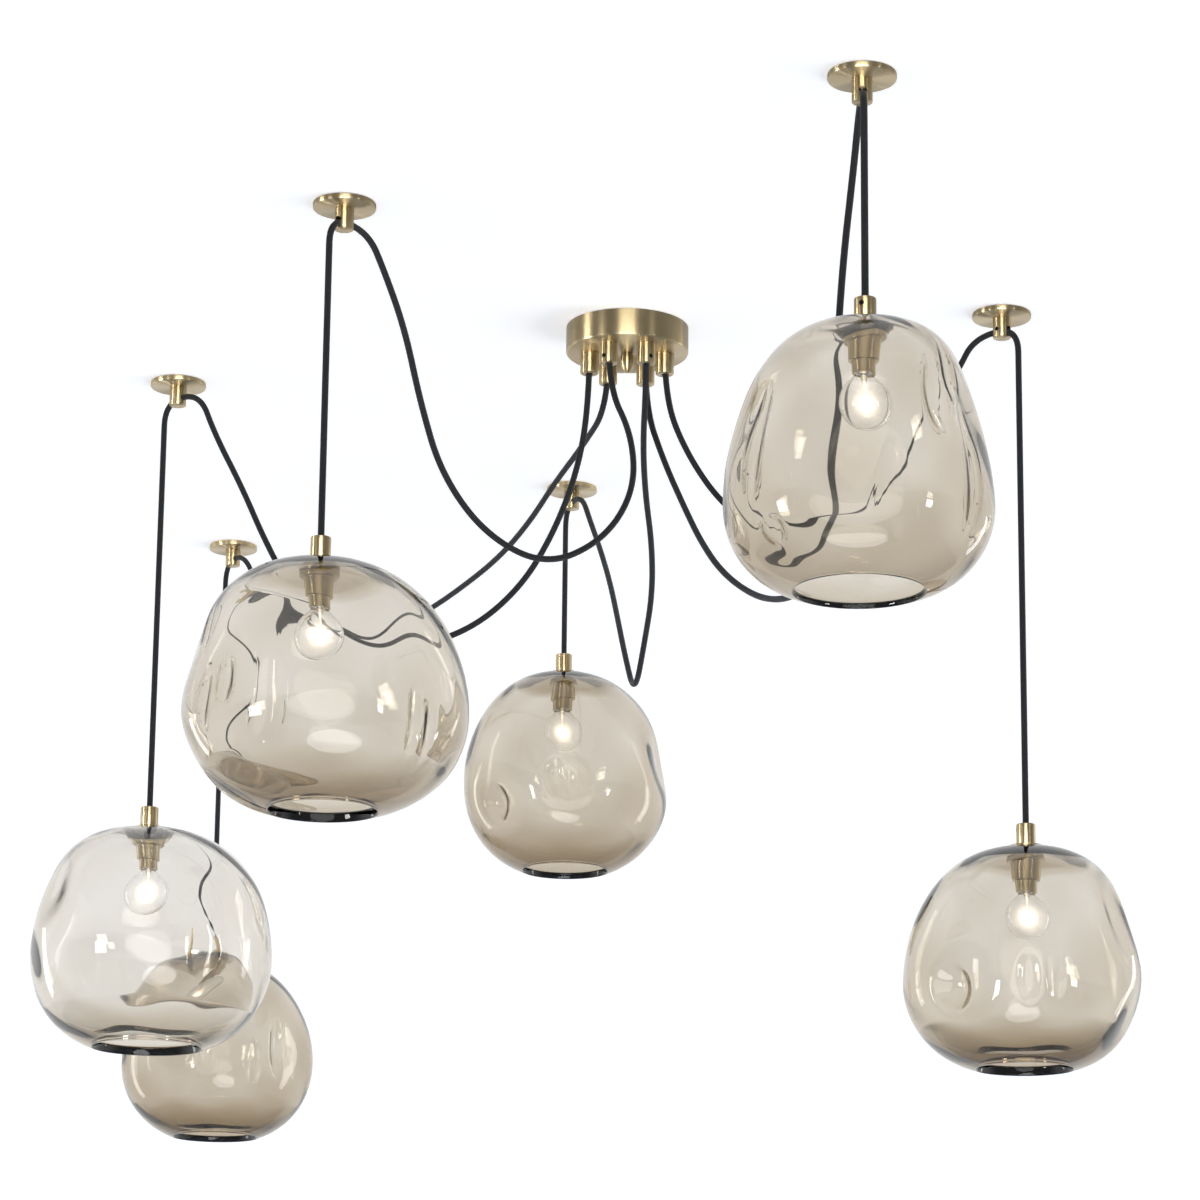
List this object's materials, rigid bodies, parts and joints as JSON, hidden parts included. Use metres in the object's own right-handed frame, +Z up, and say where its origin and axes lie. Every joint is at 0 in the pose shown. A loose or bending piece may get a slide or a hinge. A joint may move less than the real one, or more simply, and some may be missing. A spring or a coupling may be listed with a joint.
{
  "type": "swag chandelier",
  "caption": "Swag chandelier: a round brass canopy feeds cloth cords that loop to separate ceiling hooks and drop to dented hand-blown smoke-glass shades with globe bulbs.",
  "frame": {"origin": "centre of the canopy's rim, in the plane of the ceiling", "axes": "+Z up into the ceiling, +X to the right and +Y away as seen from the pictured side"},
  "size_m": [1.2478, 1.9464, 0.86],
  "materials": {
    "brass": "satin brushed, clear lacquer",
    "steel": "zinc plated",
    "white_insulator": "matt",
    "black_screw": "black oxide",
    "black_cord": "woven cloth over round cable",
    "smoke_glass": "hand-blown, glossy, smoke tint",
    "bulb_glass": "clear"
  },
  "bodies": {
    "fixture": {"canopy_cup": "brass", "canopy_crossbar": "steel", "canopy_nipple": "steel", "canopy_nuts": "steel", "terminal_block": "white_insulator", "canopy_cord_grips": "brass", "canopy_clamp_screws": "black_screw", "hook_plates": "brass", "hook_posts": "brass", "hook_clamp_screws": "black_screw", "swag_cord_1": "black_cord", "swag_cord_2": "black_cord", "swag_cord_3": "black_cord", "swag_cord_4": "black_cord", "swag_cord_5": "black_cord", "swag_cord_6": "black_cord"},
    "finial": {"canopy_finial": "brass"},
    "pendant_1": {"drop_cord_1": "black_cord", "cord_grip_1": "brass", "shade_flange_1": "brass", "shade_1": "smoke_glass", "lampholder_1": "brass", "lamp_socket_1": "white_insulator"},
    "globe_1": {"bulb_1": "bulb_glass"},
    "pendant_2": {"drop_cord_2": "black_cord", "cord_grip_2": "brass", "shade_flange_2": "brass", "shade_2": "smoke_glass", "lampholder_2": "brass", "lamp_socket_2": "white_insulator"},
    "globe_2": {"bulb_2": "bulb_glass"},
    "pendant_3": {"drop_cord_3": "black_cord", "cord_grip_3": "brass", "shade_flange_3": "brass", "shade_3": "smoke_glass", "lampholder_3": "brass", "lamp_socket_3": "white_insulator"},
    "globe_3": {"bulb_3": "bulb_glass"},
    "pendant_4": {"drop_cord_4": "black_cord", "cord_grip_4": "brass", "shade_flange_4": "brass", "shade_4": "smoke_glass", "lampholder_4": "brass", "lamp_socket_4": "white_insulator"},
    "globe_4": {"bulb_4": "bulb_glass"},
    "pendant_5": {"drop_cord_5": "black_cord", "cord_grip_5": "brass", "shade_flange_5": "brass", "shade_5": "smoke_glass", "lampholder_5": "brass", "lamp_socket_5": "white_insulator"},
    "globe_5": {"bulb_5": "bulb_glass"},
    "pendant_6": {"drop_cord_6": "black_cord", "cord_grip_6": "brass", "shade_flange_6": "brass", "shade_6": "smoke_glass", "lampholder_6": "brass", "lamp_socket_6": "white_insulator"},
    "globe_6": {"bulb_6": "bulb_glass"}
  },
  "joints": [
    {"name": "finial_turn", "type": "hinge", "parent": "fixture", "child": "finial", "pos_m": [0, 0, -0.031], "axis": [0, 0, -1], "range_deg": [0, 1440]},
    {"name": "pendant_1_swing", "type": "hinge", "parent": "fixture", "child": "pendant_1", "pos_m": [0.216, -0.758, -0.0498], "axis": [0, 1, 0], "range_deg": [-12, 12]},
    {"name": "bulb_1_turn", "type": "hinge", "parent": "pendant_1", "child": "globe_1", "pos_m": [0.216, -0.758, -0.30805], "axis": [0, 0, -1], "range_deg": [0, 1260]},
    {"name": "pendant_2_swing", "type": "hinge", "parent": "fixture", "child": "pendant_2", "pos_m": [-0.31254, -0.40034, -0.0498], "axis": [0.6157, 0.788, 0], "range_deg": [-12, 12]},
    {"name": "bulb_2_turn", "type": "hinge", "parent": "pendant_2", "child": "globe_2", "pos_m": [-0.31254, -0.40034, -0.44205], "axis": [0, 0, -1], "range_deg": [0, 1260]},
    {"name": "pendant_3_swing", "type": "hinge", "parent": "fixture", "child": "pendant_3", "pos_m": [-0.55485, 0.22814, -0.0498], "axis": [0.766, -0.6428, 0], "range_deg": [-12, 12]},
    {"name": "bulb_3_turn", "type": "hinge", "parent": "pendant_3", "child": "globe_3", "pos_m": [-0.55485, 0.22814, -0.59405], "axis": [0, 0, -1], "range_deg": [0, 1260]},
    {"name": "pendant_4_swing", "type": "hinge", "parent": "fixture", "child": "pendant_4", "pos_m": [-0.55123, 0.94892, -0.0498], "axis": [0.5105, -0.8599, 0], "range_deg": [-12, 12]},
    {"name": "bulb_4_turn", "type": "hinge", "parent": "pendant_4", "child": "globe_4", "pos_m": [-0.55123, 0.94892, -0.62505], "axis": [0, 0, -1], "range_deg": [0, 1260]},
    {"name": "pendant_5_swing", "type": "hinge", "parent": "fixture", "child": "pendant_5", "pos_m": [-0.07467, 0.65362, -0.0498], "axis": [0.3486, -0.9373, 0], "range_deg": [-12, 12]},
    {"name": "bulb_5_turn", "type": "hinge", "parent": "pendant_5", "child": "globe_5", "pos_m": [-0.07467, 0.65362, -0.29605], "axis": [0, 0, -1], "range_deg": [0, 1260]},
    {"name": "pendant_6_swing", "type": "hinge", "parent": "fixture", "child": "pendant_6", "pos_m": [0.43853, -0.07752, -0.0498], "axis": [-0.7513, 0.66, 0], "range_deg": [-12, 12]},
    {"name": "bulb_6_turn", "type": "hinge", "parent": "pendant_6", "child": "globe_6", "pos_m": [0.43853, -0.07752, -0.66605], "axis": [0, 0, -1], "range_deg": [0, 1260]}
  ]
}
